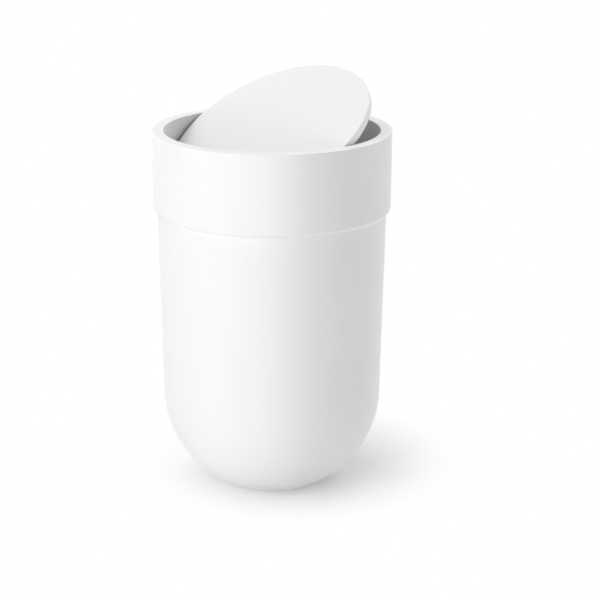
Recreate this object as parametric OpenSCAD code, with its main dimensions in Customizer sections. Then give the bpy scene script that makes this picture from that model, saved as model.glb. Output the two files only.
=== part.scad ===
// Round swing-lid waste bin: a tapered bin with a domed foot, a deep collar
// that covers the liner bag's fold, and a flat round lid that swings on two
// pins across its middle. Millimetres, +Z up, origin at the middle of the base.
// The hinge axis runs along X. The lid's front edge is at -Y.

/* [Overall] */
// Height from the floor to the top of the collar's rim
total_h = 317; // [295:1:345]
// Outer diameter of the collar
collar_d = 203; // [192:1:216]
// Angle of the lid from level, front edge down
lid_tilt = 30; // [-90:1:90]

/* [Collar] */
// Height of the collar's outer wall
collar_h = 69; // [62:0.5:80]
// Width of the flat rim around the mouth
rim_w = 9.8; // [9.4:0.1:12]
// Thickness of the rim
rim_t = 2.2; // [1.6:0.1:2.4]
// Thickness of the collar's outer wall
collar_wall = 2.2; // [1.6:0.1:2.4]
// Thickness of the wall around the mouth
mouth_wall = 2; // [1.6:0.1:2.2]
// Depth of the wall around the mouth
mouth_h = 36; // [34:0.5:42]
// Rounding of the rim's two edges
rim_edge_r = 0.4; // [0.3:0.1:1]
// Rounding of the collar's lower outer edge
lower_edge_r = 4; // [3:0.1:4.4]
// Width of the flat under the collar's lip
lip_flat = 0.25; // [0.1:0.05:0.6]
// Height of the collar's thickened lower lip
lip_h = 5; // [4.8:0.1:8]
// Number of stiffening ribs in the collar's channel
rib_count = 16; // [8:4:24]
// Thickness of a rib in the channel
rib_t = 1.4; // [1:0.1:2.5]
// Depth of the bin's neck below the rim, where the ribs rest on it
neck_drop = 32; // [30:0.5:33]

/* [Bin body] */
// Draft angle of the bin's wall
body_draft = 1.11; // [0.5:0.01:2]
// Wall thickness of the bin
body_wall = 2.9; // [2.4:0.1:3.2]
// Thickness of the bin's floor
floor_t = 3; // [2.4:0.1:4]
// Radius of the rounded foot, in section
dome_r = 91.2; // [80:0.2:100]
// Diameter of the flat that the bin stands on
foot_d = 68.8; // [50:0.2:80]
// Width of the ledge under the collar
ledge_w = 0.95; // [0.7:0.05:1.3]
// Wall thickness of the neck inside the collar
neck_wall = 2; // [1.6:0.1:2.2]
// Rounding of the ledge's outer edge
ledge_edge_r = 0.3; // [0.2:0.05:0.5]
// Width of the ring that the bin stands on
foot_ring_w = 6; // [4:0.5:10]
// Depth of the recess inside that ring
foot_recess = 0.8; // [0.4:0.1:1.2]

/* [Lid] */
// Depth of the lid's edge
lid_edge_h = 6.3; // [5:0.1:6.8]
// Thickness of the lid's top
lid_top_t = 2.2; // [1.8:0.1:3]
// Thickness of the lid's edge wall
lid_wall = 1.8; // [1.4:0.1:2.4]
// Rounding of the lid's edges
lid_edge_r = 0.6; // [0.3:0.1:0.8]
// Thickness of the ribs under the lid
lid_rib_t = 1.5; // [1:0.1:2]
// Depth of the ribs under the lid, from its top face
lid_rib_h = 5.6; // [4:0.1:6]
// Radius of the round rib under the lid
ring_rib_r = 55; // [45:1:65]
// Number of straight ribs in each half of the lid
lid_rib_count = 5; // [3:2:9]

/* [Pivots] */
// Depth of the hinge axis below the lid's top face
pivot_drop = 7; // [6.9:0.1:7.6]
// Diameter of a pivot pin
pin_d = 5; // [4:0.1:5.2]
// Length of a pivot pin
pin_l = 21; // [18:0.5:28]
// Radius of the boss that holds a pin under the lid
pin_boss_r = 5.2; // [4.6:0.1:6.4]
// Length of the boss that holds a pin
pin_boss_l = 18; // [14:0.5:24]
// Half the width of the slot in the mouth's wall
slot_r = 4.5; // [4.2:0.1:4.6]
// Width of a pivot bush behind the wall
bush_w = 15; // [13:0.5:18]
// Height of a pivot bush below the axis
bush_drop = 10; // [8:0.5:11]
// Thickness of the two walls that guide a bush
guide_t = 1.4; // [1:0.1:2]
// Reach of the snap hook on each guide wall
hook_reach = 0.8; // [0.5:0.1:1.2]
// Height of the snap hook on each guide wall
hook_h = 3; // [2:0.1:4]
// Wall that closes the end of a bush's bore
bush_end_wall = 0.8; // [0.6:0.1:1.5]
// Wall of the lid's spacer around a pin
spacer_wall = 1.3; // [0.9:0.1:1.4]

/* [Counterweight] */
// Diameter of the steel counterweight
weight_d = 40; // [34:0.5:44]
// Thickness of the counterweight
weight_t = 9; // [7:0.5:10]
// Wall thickness of the pot that holds it
pot_wall = 1.6; // [1.2:0.1:2.2]
// Depth of the pot below the lid's top face
pot_h = 19; // [16:0.1:22]
// Thickness of the pot's cover
cover_t = 2; // [1.6:0.1:3]
// Diameter of a cover screw's thread
screw_d = 2.9; // [2.5:0.1:3.2]
// Length of a cover screw's thread
screw_l = 9; // [7:0.5:10]
// Diameter of a cover screw's head
screw_head_d = 5.4; // [4.8:0.1:6]
// Height of a cover screw's head
screw_head_h = 1.8; // [1.4:0.1:2.2]
// Wall of the boss around a cover screw
screw_boss_wall = 2; // [1.5:0.1:2.5]

/* [Clearances] */
// Gap between the lid's edge and the mouth
lid_gap = 1.7; // [1.2:0.1:2.5]
// Gap between the collar's lip and the bin's neck
neck_gap = 0.35; // [0.3:0.05:0.5]
// Height of the open line between the collar and the ledge
reveal = 0.1; // [0.1:0.05:0.6]
// Running clearance of a pin in its bush, on the radius
pin_clear = 0.06; // [0.03:0.01:0.1]
// Interference of a pin in its boss, on the radius
pin_press = 0.02; // [0.01:0.01:0.05]
// Gap around a bush in its seat
bush_gap = 0.2; // [0.1:0.05:0.4]
// How far a bush's face is set back from the mouth's wall
bush_set = 0.1; // [0.05:0.05:0.3]
// End float between the lid's spacers and the bushes
end_float = 0.4; // [0.3:0.05:0.6]
// Gap around the counterweight in its pot
weight_gap = 0.3; // [0.1:0.1:0.6]
// Gap between the counterweight and the pads above it
weight_float = 0.1; // [0.05:0.05:0.3]
// Gap between the pot and a screw's boss
boss_gap = 0.6; // [0.4:0.1:1]
// Clearance of a cover screw in the cover, on the radius
screw_clear = 0.2; // [0.1:0.05:0.4]
// Bite of a cover screw's thread in its boss, on the radius
screw_bite = 0.25; // [0.15:0.05:0.35]

/* [Hidden] */
$fn = 96;
// How far joined shapes run into each other, and cutters out of them
join = 0.5;
over = 1;

// Collar
collar_r = collar_d / 2;
mouth_r = collar_r - rim_w;
mouth_out_r = mouth_r + mouth_wall;
channel_r = collar_r - collar_wall;
rim_under_z = total_h - rim_t;
collar_z = total_h - collar_h;
mouth_low_z = total_h - mouth_h;

lip_r = collar_r - lower_edge_r - lip_flat;
rib_lift = 4;
rib_slope_h = 6;
rib_low_z = collar_z + lip_h + rib_lift;
low_ease = 0.5;

// Bin body: the wall's line is tangent to the foot's circle, and that circle
// passes through the edge of the flat
neck_r = lip_r - neck_gap;
neck_in_r = neck_r - neck_wall;
body_r = neck_r + ledge_w;
ledge_z = collar_z - reveal;
neck_z = total_h - neck_drop;
foot_r = foot_d / 2;
recess_r = foot_r - foot_ring_w;
wall_reach = body_r * cos(body_draft) - ledge_z * sin(body_draft);
axis_reach = (wall_reach - dome_r) / cos(body_draft);
foot_reach = foot_r - axis_reach;
dome_centre_h = cos(body_draft) * (foot_reach * sin(body_draft)
    + sqrt(pow(dome_r, 2) - pow(foot_reach * cos(body_draft), 2)));
dome_x = axis_reach + dome_centre_h * tan(body_draft);
// The wall's line starts this far inside the circle, so that the two cross cleanly
blend = 0.002;
gate_r = 4;
gate_h = 0.5;

// Lid and pivots
lid_r = mouth_r - lid_gap;
pivot_z = total_h - pivot_drop;
pin_r = pin_d / 2;
bore_r = pin_r + pin_clear;
bush_face_x = mouth_r + bush_set;
spacer_x = bush_face_x - end_float;
spacer_r = pin_r + spacer_wall;
bush_back_x = mouth_out_r + bush_gap;
bush_end_x = sqrt(pow(channel_r - bush_gap, 2) - pow(bush_w / 2, 2));
bush_top_z = rim_under_z - bush_gap;
bush_low_z = pivot_z - bush_drop;
bore_end_x = bush_end_x - bush_end_wall;
pin_end_x = bore_end_x - end_float;
pin_start_x = pin_end_x - pin_l;
pin_boss_x = lid_r - pin_boss_l;
pin_ease = 0.5;
lug_wall = 1;
lid_fillet = 0.5;

// Counterweight
weight_r = weight_d / 2;
pot_in_r = weight_r + weight_gap;
pot_r = pot_in_r + pot_wall;
screw_r = screw_d / 2;
screw_boss_r = screw_r + screw_boss_wall;
screw_ring_r = pot_r + screw_boss_r + boss_gap;
screw_hole_r = screw_r + screw_clear;
screw_pilot_r = screw_r - screw_bite;
screw_pilot_h = screw_l - cover_t + over;
screw_turns = [90, 210, 330];
screw_tip_h = 1.5;
cover_low = pot_h + cover_t;
weight_ease = 0.5;

plastic = [0.95, 0.95, 0.945];
acetal = [0.86, 0.88, 0.89];
steel = [0.72, 0.73, 0.74];
zinc = [0.62, 0.64, 0.66];

// A round corner of a profile: points on an arc about a centre
function arc(centre, r, from, to, steps = 8) =
    [for (i = [0:steps])
        let (a = from + (to - from) * i / steps)
        centre + r * [cos(a), sin(a)]];

// Section of the bin from its axis out, at a distance inside the outer face
// and with its top edge rounded
module bin_section(inset, top_z, edge = 0) {
    tangent = [dome_x + dome_r * cos(body_draft), dome_centre_h - dome_r * sin(body_draft)];
    inward = (inset + blend) * [cos(body_draft), -sin(body_draft)];
    side_r = body_r - (ledge_z - top_z + edge) * tan(body_draft) - inset / cos(body_draft);
    top = edge > 0 ? arc([side_r - edge, top_z - edge], edge, 0, 90) : [[side_r, top_z]];
    translate([dome_x, dome_centre_h])
        circle(r = dome_r - inset, $fn = 180);
    polygon(concat([[0, tangent[1]], tangent - inward], top, [[0, top_z]]));
    if (dome_x > 0)
        translate([0, dome_centre_h - dome_r + inset])
            square([dome_x, dome_r]);
}

// Plain neck that the collar covers, with its rim rounded for the bag
module neck_section() {
    edge = neck_wall * 0.45;
    polygon(concat(
        [[neck_in_r, ledge_z - body_wall], [neck_r, ledge_z - body_wall]],
        arc([neck_r - edge, neck_z - edge], edge, 0, 90),
        arc([neck_in_r + edge, neck_z - edge], edge, 90, 180)
    ));
}

module bin_body() {
    color(plastic)
    difference() {
        rotate_extrude($fn = 180)
            difference() {
                union() {
                    intersection() {
                        bin_section(0, ledge_z, ledge_edge_r);
                        square([collar_r, total_h]);
                    }
                    neck_section();
                }
                // The cavity narrows all the way down, so the core can leave it
                intersection() {
                    union() {
                        bin_section(body_wall, ledge_z);
                        translate([0, ledge_z - over])
                            square([neck_in_r, total_h]);
                    }
                    translate([0, floor_t])
                        square([neck_in_r, total_h]);
                }
            }
        // Recess inside the ring that the bin stands on, and the gate's dimple
        translate([0, 0, -over])
            cylinder(r1 = recess_r + over, r2 = recess_r, h = foot_recess + over);
        cylinder(r = gate_r, h = foot_recess + gate_h);
    }
}

// Section of the collar: outer wall with its rounded lip, rim and mouth wall
module collar_section() {
    edge = rim_edge_r;
    lower = lower_edge_r;
    lip_slope = channel_r - lip_r;
    polygon(concat(
        arc([collar_r - edge, total_h - edge], edge, 90, 0, 6),
        arc([collar_r - lower, collar_z + lower], lower, 0, -90, 12),
        [
            [lip_r, collar_z],
            [lip_r, collar_z + lip_h - lip_slope],
            [channel_r, collar_z + lip_h],
            [channel_r, rim_under_z],
            [mouth_out_r, rim_under_z],
            [mouth_out_r, mouth_low_z + low_ease],
            [mouth_out_r - low_ease, mouth_low_z],
            [mouth_r + low_ease, mouth_low_z],
            [mouth_r, mouth_low_z + low_ease]
        ],
        arc([mouth_r + edge, total_h - edge], edge, 180, 90, 6)
    ));
}

// Ribs in the collar's channel: each stands on the bin's neck and keeps it centred
module channel_ribs() {
    for (i = [0:rib_count - 1])
        rotate([90, 0, 360 * (i + 0.5) / rib_count])
            translate([0, 0, -rib_t / 2])
                linear_extrude(rib_t)
                    polygon([
                        [mouth_out_r - join, rim_under_z + join],
                        [channel_r + join, rim_under_z + join],
                        [channel_r + join, rib_low_z],
                        [channel_r, rib_low_z],
                        [lip_r, rib_low_z + rib_slope_h],
                        [lip_r, neck_z],
                        [mouth_out_r - join, neck_z]
                    ]);
}

// Seat of a bush at +X: the slot it closes and the two guide walls with hooks
module bush_slot() {
    translate([mouth_r - over, 0, pivot_z])
        rotate([0, 90, 0])
            cylinder(r = slot_r, h = mouth_wall + 2 * over);
    translate([mouth_r - over, -slot_r, mouth_low_z - over])
        cube([mouth_wall + 2 * over, 2 * slot_r, pivot_z - mouth_low_z + over]);
}

module bush_guides() {
    side_y = bush_w / 2 + bush_gap;
    hook_z = bush_low_z - bush_gap;
    for (side = [-1, 1])
        intersection() {
            translate([0, 0, hook_z - hook_h])
                difference() {
                    cylinder(r = channel_r + join, h = rim_under_z - hook_z + hook_h + join);
                    translate([0, 0, -over])
                        cylinder(r = mouth_out_r - join, h = total_h);
                }
            scale([1, side, 1])
                translate([mouth_r, 0, 0])
                    rotate([90, 0, 90])
                        linear_extrude(rim_w)
                            polygon([
                                [side_y, total_h],
                                [side_y, hook_z],
                                [side_y - hook_reach, hook_z],
                                [side_y - hook_reach, hook_z - hook_h / 3],
                                [side_y, hook_z - hook_h],
                                [side_y + guide_t, hook_z - hook_h],
                                [side_y + guide_t, total_h]
                            ]);
        }
}

module collar() {
    color(plastic)
    difference() {
        union() {
            rotate_extrude($fn = 180)
                collar_section();
            channel_ribs();
            for (turn = [0, 180])
                rotate([0, 0, turn])
                    bush_guides();
        }
        for (turn = [0, 180])
            rotate([0, 0, turn])
                bush_slot();
    }
}

// Pivot bush at +X: a nose that closes the slot, a block behind the wall and a blind bore
module pivot_bush() {
    nose_r = slot_r - bush_gap;
    nose_l = bush_back_x - bush_face_x + join;
    color(acetal)
    difference() {
        union() {
            translate([bush_face_x, 0, pivot_z])
                rotate([0, 90, 0])
                    cylinder(r = nose_r, h = nose_l);
            translate([bush_face_x, -nose_r, mouth_low_z])
                cube([mouth_wall, 2 * nose_r, pivot_z - mouth_low_z]);
            translate([bush_face_x, -nose_r, bush_low_z])
                cube([nose_l, 2 * nose_r, bush_drop]);
            translate([bush_back_x, -bush_w / 2, bush_low_z])
                cube([bush_end_x - bush_back_x, bush_w, bush_top_z - bush_low_z]);
        }
        translate([bush_face_x - over, 0, pivot_z])
            rotate([0, 90, 0])
                cylinder(r = bore_r, h = bore_end_x - bush_face_x + over);
    }
}

module pivot_bush_right() {
    pivot_bush();
}

module pivot_bush_left() {
    rotate([0, 0, 180])
        pivot_bush();
}

// Puts a piece of the lid, drawn level with its top face at z = 0, at the lid's angle
module on_lid() {
    translate([0, 0, pivot_z])
        rotate([lid_tilt, 0, 0])
            translate([0, 0, pivot_drop])
                children();
}

// Section of the lid: top plate and edge wall
module lid_section() {
    edge = lid_edge_r;
    polygon(concat(
        [[0, 0]],
        arc([lid_r - edge, -edge], edge, 90, 0, 6),
        arc([lid_r - edge, edge - lid_edge_h], edge, 0, -90, 6),
        [
            [lid_r - lid_wall, -lid_edge_h],
            [lid_r - lid_wall - lid_fillet, -lid_top_t - lid_fillet],
            [lid_r - lid_wall - 2 * lid_fillet, -lid_top_t],
            [0, -lid_top_t]
        ]
    ));
}

// Ribs under the lid: a ring, spokes to the edge and two beams beside the axis
module lid_ribs() {
    depth = lid_rib_h - lid_top_t + join;
    beam_y = pin_boss_r - lid_rib_t / 2;
    translate([0, 0, -lid_rib_h]) {
        difference() {
            cylinder(r = ring_rib_r + lid_rib_t / 2, h = depth, $fn = 128);
            translate([0, 0, -over])
                cylinder(r = ring_rib_r - lid_rib_t / 2, h = depth + 2 * over, $fn = 128);
        }
        for (half = [0, 180])
            for (i = [1:lid_rib_count])
                rotate([0, 0, half + 180 * i / (lid_rib_count + 1)])
                    translate([pot_in_r + pot_wall / 2, -lid_rib_t / 2, 0])
                        cube([lid_r - lid_wall / 2 - pot_in_r - pot_wall / 2, lid_rib_t, depth]);
        for (side = [-1, 1])
            for (end = [0, 180])
                rotate([0, 0, end])
                    translate([pot_in_r + pot_wall / 2, side * beam_y - lid_rib_t / 2, 0])
                        cube([lid_r - lid_wall * 1.5 - pot_in_r, lid_rib_t, depth]);
    }
}

// Boss for a pin at +X, with its web, its lug in the edge wall and its spacer
module pin_boss() {
    translate([pin_boss_x, 0, -pivot_drop])
        rotate([0, 90, 0])
            cylinder(r = pin_boss_r, h = pin_boss_l - lid_wall);
    translate([pin_boss_x, -pin_boss_r, -pivot_drop])
        cube([pin_boss_l - lid_wall, 2 * pin_boss_r, pivot_drop - lid_top_t / 2]);
    intersection() {
        translate([lid_r - 2 * lid_wall, 0, -pivot_drop])
            rotate([0, 90, 0])
                cylinder(r = pin_boss_r + lug_wall, h = 2 * lid_wall + over);
        translate([0, 0, -2 * pivot_drop])
            cylinder(r = lid_r, h = 2 * pivot_drop - lid_top_t / 2, $fn = 180);
    }
    translate([lid_r - lid_wall, 0, -pivot_drop])
        rotate([0, 90, 0])
            cylinder(r = spacer_r, h = spacer_x - lid_r + lid_wall);
}

// Pot for the counterweight, with its pads and the three screw bosses
module weight_pot() {
    difference() {
        union() {
            translate([0, 0, -pot_h])
                cylinder(r = pot_r, h = pot_h - lid_top_t / 2);
            for (turn = screw_turns)
                rotate([0, 0, turn]) {
                    translate([screw_ring_r, 0, -pot_h])
                        cylinder(r = screw_boss_r, h = pot_h - lid_top_t / 2, $fn = 48);
                    translate([pot_in_r + pot_wall / 2, -lid_rib_t / 2, -pot_h])
                        cube([screw_ring_r - pot_in_r - screw_pilot_r, lid_rib_t, pot_h - lid_top_t / 2]);
                }
        }
        translate([0, 0, -pot_h - over])
            cylinder(r = pot_in_r, h = pot_h - lid_top_t + over);
        for (turn = screw_turns)
            rotate([0, 0, turn])
                translate([screw_ring_r, 0, -pot_h - over])
                    cylinder(r = screw_pilot_r, h = screw_pilot_h + over, $fn = 32);
    }
    pad_h = pot_h - weight_t - lid_top_t - weight_float;
    pad_start = weight_r * 0.45;
    for (turn = [45:90:315])
        rotate([0, 0, turn])
            translate([pad_start, -lid_rib_t / 2, -lid_top_t - pad_h])
                cube([pot_r - pad_start - pot_wall / 2, lid_rib_t, pad_h + join]);
}

module swing_lid() {
    color(plastic)
    on_lid()
        difference() {
            union() {
                rotate_extrude($fn = 180)
                    lid_section();
                lid_ribs();
                weight_pot();
                for (turn = [0, 180])
                    rotate([0, 0, turn])
                        pin_boss();
            }
            for (turn = [0, 180])
                rotate([0, 0, turn])
                    translate([pin_start_x - over, 0, -pivot_drop])
                        rotate([0, 90, 0])
                            cylinder(r = pin_r - pin_press, h = pin_l);
        }
}

// Pivot pin at +X, with its ends eased
module pivot_pin() {
    ease = pin_ease;
    color(steel)
    on_lid()
        translate([pin_start_x, 0, -pivot_drop])
            rotate([0, 90, 0])
                rotate_extrude($fn = 64)
                    polygon([
                        [0, 0],
                        [pin_r - ease, 0],
                        [pin_r, ease],
                        [pin_r, pin_l - ease],
                        [pin_r - ease, pin_l],
                        [0, pin_l]
                    ]);
}

module pivot_pin_right() {
    pivot_pin();
}

module pivot_pin_left() {
    mirror([1, 0, 0])
        pivot_pin();
}

// Steel disc that swings the lid back to level
module counterweight() {
    ease = weight_ease;
    color(zinc)
    on_lid()
        translate([0, 0, -pot_h])
            rotate_extrude()
                polygon([
                    [0, 0],
                    [weight_r - ease, 0],
                    [weight_r, ease],
                    [weight_r, weight_t - ease],
                    [weight_r - ease, weight_t],
                    [0, weight_t]
                ]);
}

// Cover that closes the pot, with three ears for its screws
module weight_cover() {
    color(plastic)
    on_lid()
        translate([0, 0, -cover_low])
            difference() {
                union() {
                    cylinder(r = pot_r, h = cover_t);
                    for (turn = screw_turns)
                        rotate([0, 0, turn]) {
                            translate([screw_ring_r, 0, 0])
                                cylinder(r = screw_boss_r, h = cover_t, $fn = 48);
                            translate([0, -screw_boss_r, 0])
                                cube([screw_ring_r, 2 * screw_boss_r, cover_t]);
                        }
                }
                for (turn = screw_turns)
                    rotate([0, 0, turn])
                        translate([screw_ring_r, 0, -over])
                            cylinder(r = screw_hole_r, h = cover_t + 2 * over, $fn = 32);
            }
}

// Self-tapping screw with a pan head and a cross recess, tip up
module screw_form() {
    head_r = screw_head_d / 2;
    crown_r = head_r * 0.7;
    brim_h = screw_head_h * 0.45;
    tip_r = 0.4;
    slot_w = 0.9;
    slot_l = head_r * 1.1;
    slot_depth = screw_head_h * 0.6;
    difference() {
        rotate_extrude($fn = 48)
            polygon([
                [0, -screw_head_h],
                [crown_r, -screw_head_h],
                [head_r, -brim_h],
                [head_r, 0],
                [screw_r, 0],
                [screw_r, screw_l - screw_tip_h],
                [tip_r, screw_l],
                [0, screw_l]
            ]);
        for (turn = [0, 90])
            rotate([0, 0, turn])
                translate([-slot_l / 2, -slot_w / 2, -screw_head_h - over])
                    cube([slot_l, slot_w, over + slot_depth]);
    }
}

module cover_screw(turn) {
    color(zinc)
    on_lid()
        rotate([0, 0, turn])
            translate([screw_ring_r, 0, -cover_low])
                screw_form();
}

module cover_screw_back() {
    cover_screw(screw_turns[0]);
}

module cover_screw_left() {
    cover_screw(screw_turns[1]);
}

module cover_screw_right() {
    cover_screw(screw_turns[2]);
}

bin_body();
collar();
swing_lid();
pivot_bush_left();
pivot_bush_right();
pivot_pin_left();
pivot_pin_right();
counterweight();
weight_cover();
cover_screw_back();
cover_screw_left();
cover_screw_right();
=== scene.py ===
import math

import bpy
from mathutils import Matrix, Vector

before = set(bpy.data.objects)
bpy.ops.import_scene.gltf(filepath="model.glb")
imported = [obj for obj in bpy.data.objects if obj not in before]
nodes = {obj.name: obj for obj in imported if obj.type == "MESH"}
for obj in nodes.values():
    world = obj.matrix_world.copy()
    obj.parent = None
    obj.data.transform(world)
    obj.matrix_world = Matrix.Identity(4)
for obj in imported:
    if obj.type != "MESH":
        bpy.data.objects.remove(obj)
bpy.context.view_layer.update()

# The camera's place, from the photograph: metres and degrees
CAMERA_FROM_AXIS = 1.474
CAMERA_HEIGHT = 0.6275
CAMERA_AZIMUTH = 48.3
CAMERA_PITCH = 17.41
CAMERA_CLIP_END = 50.0
LENS_MM = 106.55
SENSOR_MM = 36.0
# The bin's axis stands left of the picture's middle, by this share of its width
AXIS_SHIFT = 0.0467


def make_camera():
    data = bpy.data.cameras.new("camera")
    data.lens = LENS_MM
    data.sensor_width = SENSOR_MM
    data.shift_x = AXIS_SHIFT
    data.clip_end = CAMERA_CLIP_END
    camera = bpy.data.objects.new("camera", data)
    azimuth = math.radians(CAMERA_AZIMUTH)
    camera.location = (
        CAMERA_FROM_AXIS * math.sin(azimuth),
        -CAMERA_FROM_AXIS * math.cos(azimuth),
        CAMERA_HEIGHT,
    )
    camera.rotation_euler = (math.radians(90 - CAMERA_PITCH), 0, azimuth)
    bpy.context.scene.collection.objects.link(camera)
    bpy.context.scene.camera = camera


make_camera()

# Noise is in cells per metre along X, Y and Z
GLOSS_DRIFT = (14, 14, 9)
SHADE_DRIFT = (9, 9, 6)
MOULD_GRAIN = (2200, 2200, 2200)
STEEL_SHADE = (160, 160, 160)
TOOL_MARK_DETAIL = 4.0
# Most of a noise texture's values lie between these two
NOISE_LOW = 0.25
NOISE_HIGH = 0.75

PLASTIC_IOR = 1.48
# How far the roughness drifts either side of a material's own
PLASTIC_DRIFT = 0.03
STEEL_SMOOTHER = 0.06
STEEL_ROUGHER = 0.08


def new_material(name):
    material = bpy.data.materials.new(name)
    material.use_nodes = True
    return material, material.node_tree.nodes, material.node_tree.links


def noise(nd, links, cells, detail=2.0):
    """Noise in the object's own space"""
    coords = nd.new("ShaderNodeTexCoord")
    spread = nd.new("ShaderNodeMapping")
    spread.inputs["Scale"].default_value = cells
    texture = nd.new("ShaderNodeTexNoise")
    texture.inputs["Scale"].default_value = 1
    texture.inputs["Detail"].default_value = detail
    links.new(coords.outputs["Object"], spread.inputs["Vector"])
    links.new(spread.outputs["Vector"], texture.inputs["Vector"])
    return texture.outputs["Fac"]


def spread_over(nd, links, value, low, high):
    """The noise's middle half, spread over low to high"""
    levels = nd.new("ShaderNodeMapRange")
    levels.inputs["From Min"].default_value = NOISE_LOW
    levels.inputs["From Max"].default_value = NOISE_HIGH
    levels.inputs["To Min"].default_value = low
    levels.inputs["To Max"].default_value = high
    links.new(value, levels.inputs["Value"])
    return levels.outputs["Result"]


def add_bump(nd, links, height, depth):
    """A relief that is depth metres deep"""
    bump = nd.new("ShaderNodeBump")
    bump.inputs["Strength"].default_value = 1
    bump.inputs["Distance"].default_value = depth
    links.new(height, bump.inputs["Height"])
    links.new(bump.outputs["Normal"], nd["Principled BSDF"].inputs["Normal"])


def add_colour(nd, links, value, low, high):
    """A colour that drifts between two near shades"""
    blend = nd.new("ShaderNodeMix")
    blend.data_type = "RGBA"
    blend.inputs["A"].default_value = (*low, 1)
    blend.inputs["B"].default_value = (*high, 1)
    links.new(spread_over(nd, links, value, 0, 1), blend.inputs["Factor"])
    links.new(blend.outputs["Result"], nd["Principled BSDF"].inputs["Base Color"])


def moulded_plastic(name, low, high, roughness, depth):
    """Satin plastic: fine spark-eroded grain, and slow drifts of gloss and shade"""
    material, nd, links = new_material(name)
    shader = nd["Principled BSDF"]
    shader.inputs["IOR"].default_value = PLASTIC_IOR
    drift = noise(nd, links, GLOSS_DRIFT)
    gloss = spread_over(
        nd, links, drift, roughness - PLASTIC_DRIFT, roughness + PLASTIC_DRIFT
    )
    links.new(gloss, shader.inputs["Roughness"])
    add_colour(nd, links, noise(nd, links, SHADE_DRIFT), low, high)
    add_bump(nd, links, noise(nd, links, MOULD_GRAIN), depth)
    return material


def bare_metal(name, low, high, roughness, cells, depth):
    """Steel with tool marks: cells sets which way they run"""
    material, nd, links = new_material(name)
    shader = nd["Principled BSDF"]
    shader.inputs["Metallic"].default_value = 1
    marks = noise(nd, links, cells, TOOL_MARK_DETAIL)
    gloss = spread_over(
        nd, links, marks, roughness - STEEL_SMOOTHER, roughness + STEEL_ROUGHER
    )
    links.new(gloss, shader.inputs["Roughness"])
    add_colour(nd, links, noise(nd, links, STEEL_SHADE), low, high)
    add_bump(nd, links, marks, depth)
    return material


SATIN_WHITE = {
    "low": (0.874, 0.874, 0.874),
    "high": (0.886, 0.886, 0.886),
    "roughness": 0.45,
    "depth": 0.000003,
}
bin_plastic = moulded_plastic("bin_plastic", **SATIN_WHITE)
collar_plastic = moulded_plastic("collar_plastic", **SATIN_WHITE)
lid_plastic = moulded_plastic("lid_plastic", **SATIN_WHITE)
bush_acetal = moulded_plastic(
    "bush_acetal",
    low=(0.80, 0.79, 0.75),
    high=(0.83, 0.82, 0.78),
    roughness=0.34,
    depth=0.000002,
)
# The pins are turned, so their marks run round the X axis
pin_steel = bare_metal(
    "pin_steel",
    low=(0.56, 0.56, 0.57),
    high=(0.63, 0.63, 0.63),
    roughness=0.28,
    cells=(5000, 150, 150),
    depth=0.000002,
)
weight_steel = bare_metal(
    "weight_steel",
    low=(0.30, 0.30, 0.31),
    high=(0.38, 0.38, 0.38),
    roughness=0.48,
    cells=(900, 900, 900),
    depth=0.00001,
)
screw_steel = bare_metal(
    "screw_steel",
    low=(0.60, 0.60, 0.57),
    high=(0.66, 0.66, 0.64),
    roughness=0.32,
    cells=(300, 300, 2500),
    depth=0.000002,
)

FINISHES = {
    "bin_body": bin_plastic,
    "collar": collar_plastic,
    "swing_lid": lid_plastic,
    "weight_cover": lid_plastic,
    "pivot_bush_left": bush_acetal,
    "pivot_bush_right": bush_acetal,
    "pivot_pin_left": pin_steel,
    "pivot_pin_right": pin_steel,
    "counterweight": weight_steel,
    "cover_screw_back": screw_steel,
    "cover_screw_left": screw_steel,
    "cover_screw_right": screw_steel,
}
for name, material in FINISHES.items():
    nodes[name].data.materials.clear()
    nodes[name].data.materials.append(material)


# The floor is plain white where the camera or a reflection sees it. Round the object
# it is lit by the lamps instead, so it keeps the object's shadow: all of it within
# SHADOW_NEAR metres of SHADOW_CENTRE, and none beyond SHADOW_FAR.
# There the floor also has painted shade: it is seen greyer, SHADOW_ALBEDO against
# FLOOR_ALBEDO, in a zone centred off the axis where the shadow falls.
# Between SHADOW_NEAR and SHADOW_FAR, white emission is painted light over the shadow's
# outer part
FLOOR_SIZE = 24
FLOOR_ALBEDO = 0.88
SHADOW_ALBEDO = 0.84
SHADOW_CENTRE = (-0.020, 0.049, 0)
SHADOW_NEAR = 0.028
SHADOW_FAR = 0.155


def seen_directly(nd, links):
    """1 for camera, glossy and transmission rays, 0 for diffuse light"""
    path = nd.new("ShaderNodeLightPath")
    flag = path.outputs["Is Camera Ray"]
    for ray in ("Is Glossy Ray", "Is Transmission Ray"):
        either = nd.new("ShaderNodeMath")
        either.operation = "MAXIMUM"
        links.new(flag, either.inputs[0])
        links.new(path.outputs[ray], either.inputs[1])
        flag = either.outputs["Value"]
    return flag


def grey_diffuse(nd, level):
    shader = nd.new("ShaderNodeBsdfDiffuse")
    shader.inputs["Color"].default_value = (level, level, level, 1)
    return shader


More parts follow.
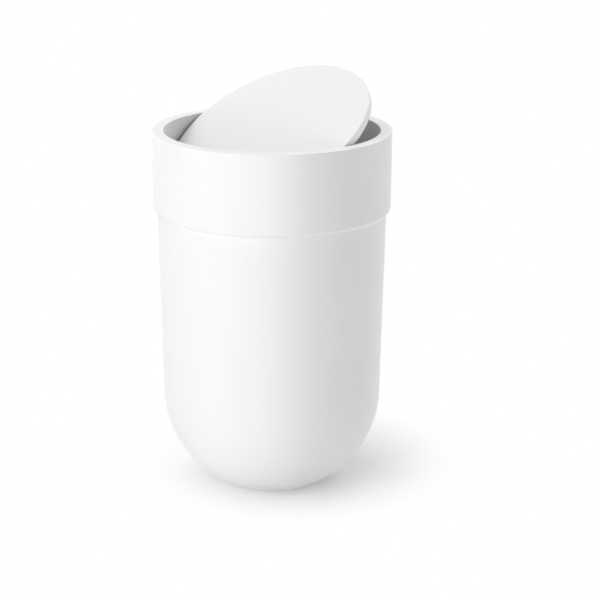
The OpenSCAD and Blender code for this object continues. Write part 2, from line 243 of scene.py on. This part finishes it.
def floor_material():
    material, nd, links = new_material("floor")
    nd.remove(nd["Principled BSDF"])
    unseen = grey_diffuse(nd, FLOOR_ALBEDO)
    # Painted shade: the floor seen near the object is greyer than the floor that
    # bounces light
    shaded = grey_diffuse(nd, SHADOW_ALBEDO)
    # Painted light: this white fades in over the outer part of the object's shadow
    plain_white = nd.new("ShaderNodeEmission")

    coords = nd.new("ShaderNodeTexCoord")
    distance = nd.new("ShaderNodeVectorMath")
    distance.operation = "DISTANCE"
    distance.inputs[1].default_value = SHADOW_CENTRE
    links.new(coords.outputs["Object"], distance.inputs[0])
    fade = nd.new("ShaderNodeMapRange")
    fade.interpolation_type = "SMOOTHSTEP"
    fade.inputs["From Min"].default_value = SHADOW_NEAR
    fade.inputs["From Max"].default_value = SHADOW_FAR
    links.new(distance.outputs["Value"], fade.inputs["Value"])

    seen = nd.new("ShaderNodeMixShader")
    links.new(fade.outputs["Result"], seen.inputs["Fac"])
    links.new(shaded.outputs["BSDF"], seen.inputs[1])
    links.new(plain_white.outputs["Emission"], seen.inputs[2])
    surface = nd.new("ShaderNodeMixShader")
    links.new(seen_directly(nd, links), surface.inputs["Fac"])
    links.new(unseen.outputs["BSDF"], surface.inputs[1])
    links.new(seen.outputs["Shader"], surface.inputs[2])
    links.new(surface.outputs["Shader"], nd["Material Output"].inputs["Surface"])
    return material


def make_floor():
    bpy.ops.mesh.primitive_plane_add(size=FLOOR_SIZE, location=(0, 0, 0))
    floor = bpy.context.object
    floor.name = "floor"
    floor.data.materials.append(floor_material())


make_floor()


def make_world():
    """Plain white where it is seen itself, and no light on anything else"""
    world = bpy.data.worlds.new("world")
    bpy.context.scene.world = world
    world.use_nodes = True
    nd, links = world.node_tree.nodes, world.node_tree.links
    background = nd["Background"]
    background.inputs["Color"].default_value = (1, 1, 1, 1)
    links.new(seen_directly(nd, links), background.inputs["Strength"])


make_world()

# Lamps: metres and watts
LAMP_DISTANCE = 2.2
LAMP_AIM_HEIGHT = 0.16
LAMP_SIDE = 1.4


def soft_box(name, turn, elevation, power, width=LAMP_SIDE, height=LAMP_SIDE):
    """A lamp aimed at the object, turned in degrees to the camera's right"""
    data = bpy.data.lights.new(name, "AREA")
    data.shape = "RECTANGLE"
    data.size = width
    data.size_y = height
    data.energy = power
    light = bpy.data.objects.new(name, data)
    a, e = math.radians(CAMERA_AZIMUTH + turn), math.radians(elevation)
    away = Vector((math.sin(a) * math.cos(e), -math.cos(a) * math.cos(e), math.sin(e)))
    light.location = Vector((0, 0, LAMP_AIM_HEIGHT)) + away * LAMP_DISTANCE
    light.rotation_euler = (-away).to_track_quat("-Z", "Y").to_euler()
    bpy.context.scene.collection.objects.link(light)


soft_box("key", turn=-45, elevation=12, power=18)
soft_box("high_key", turn=-45, elevation=38, power=10.8)
soft_box("low_front", turn=0, elevation=1, power=12, height=0.34)
soft_box("high_left", turn=-120, elevation=64, power=15)
soft_box("left_back", turn=-150, elevation=12, power=12)
soft_box("high_back", turn=150, elevation=38, power=19.8)
soft_box("right_strip", turn=105, elevation=12, power=15.3, width=0.35)
soft_box("top", turn=0, elevation=90, power=6)

bpy.context.scene.view_settings.view_transform = "Standard"
